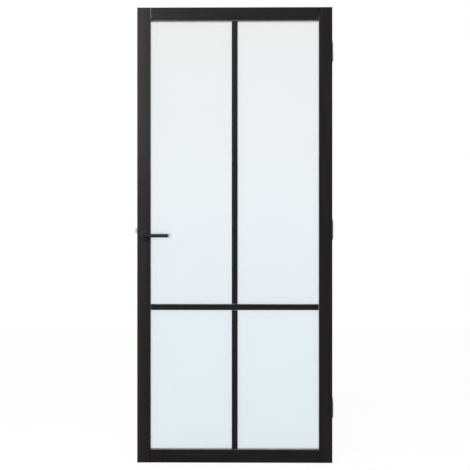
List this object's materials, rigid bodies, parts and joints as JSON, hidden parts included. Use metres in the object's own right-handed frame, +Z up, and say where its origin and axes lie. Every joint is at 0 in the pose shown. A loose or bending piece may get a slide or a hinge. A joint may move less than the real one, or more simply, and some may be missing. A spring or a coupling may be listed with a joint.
{
  "type": "glass door",
  "caption": "Slim black timber door leaf with a satin glass pane, glued-on cross glazing bars, a round-bar lever that draws a spring latch, and butt hinges to swing on",
  "frame": {"origin": "middle of the leaf's bottom edge, on the leaf's mid-plane", "axes": "+X to the hinge side, -Y towards the viewer of the front, +Z up"},
  "size_m": [0.9181, 0.151, 2.1],
  "materials": {
    "black_lacquer": "black satin lacquer",
    "beech_dowel": "bare beech",
    "satin_glass": "acid-etched satin",
    "black_tape": "closed-cell foam tape",
    "nylon": "plain moulded",
    "black_metal": "matt black coat",
    "zinc_steel": "zinc plated",
    "steel": "satin stainless"
  },
  "bodies": {
    "jamb_hinges": {"hinge_top_jamb_plate": "steel", "hinge_top_pin": "steel", "hinge_middle_jamb_plate": "steel", "hinge_middle_pin": "steel", "hinge_bottom_jamb_plate": "steel", "hinge_bottom_pin": "steel"},
    "door_leaf": {"lock_stile": "black_lacquer", "hinge_stile": "black_lacquer", "top_rail": "black_lacquer", "bottom_rail": "black_lacquer", "corner_dowels": "beech_dowel", "glass_pane": "satin_glass", "glazing_tape_front": "black_tape", "glazing_tape_back": "black_tape", "setting_blocks": "nylon", "bead_top": "black_lacquer", "bead_right": "black_lacquer", "bead_bottom": "black_lacquer", "bead_left": "black_lacquer", "bead_pins": "steel", "crossbar_front": "black_lacquer", "upright_bar_upper_front": "black_lacquer", "upright_bar_lower_front": "black_lacquer", "bar_tape_front": "black_tape", "crossbar_back": "black_lacquer", "upright_bar_upper_back": "black_lacquer", "upright_bar_lower_back": "black_lacquer", "bar_tape_back": "black_tape", "rose_front": "black_metal", "rose_back": "black_metal", "rose_base_front": "zinc_steel", "rose_base_back": "zinc_steel", "lever_bush_front": "nylon", "lever_bush_back": "nylon", "rose_screws": "steel", "forend": "black_metal", "forend_screws": "black_metal", "lock_case": "zinc_steel", "lock_cover": "zinc_steel", "case_screws": "steel", "latch_spring": "steel", "return_spring": "steel", "hinge_top_door_plate": "steel", "hinge_middle_door_plate": "steel", "hinge_bottom_door_plate": "steel", "hinge_screws": "steel"},
    "lever_set": {"lever_front": "black_metal", "lever_back": "black_metal", "spindle": "steel", "grub_screws": "black_metal", "follower": "zinc_steel"},
    "latch": {"latch_bolt": "steel"}
  },
  "joints": [
    {"name": "leaf_swing", "type": "hinge", "parent": "jamb_hinges", "child": "door_leaf", "pos_m": [0.4515, 0.027, 0], "axis": [0, 0, -1], "range_deg": [0, 170]},
    {"name": "lever_turn", "type": "hinge", "parent": "door_leaf", "child": "lever_set", "pos_m": [-0.415, 0, 1.047], "axis": [0, 1, 0], "range_deg": [0, 40], "stiffness_Nm_per_rad": 1.2, "springref_deg": -20.05, "deforming": ["return_spring"]},
    {"name": "latch_slide", "type": "slide", "parent": "door_leaf", "child": "latch", "axis": [1, 0, 0], "range_m": [0, 0.0106], "deforming": ["latch_spring"]}
  ],
  "couplings": [
    {"joint": "latch_slide", "follows": "lever_turn", "m_per_rad": 0.015143}
  ]
}
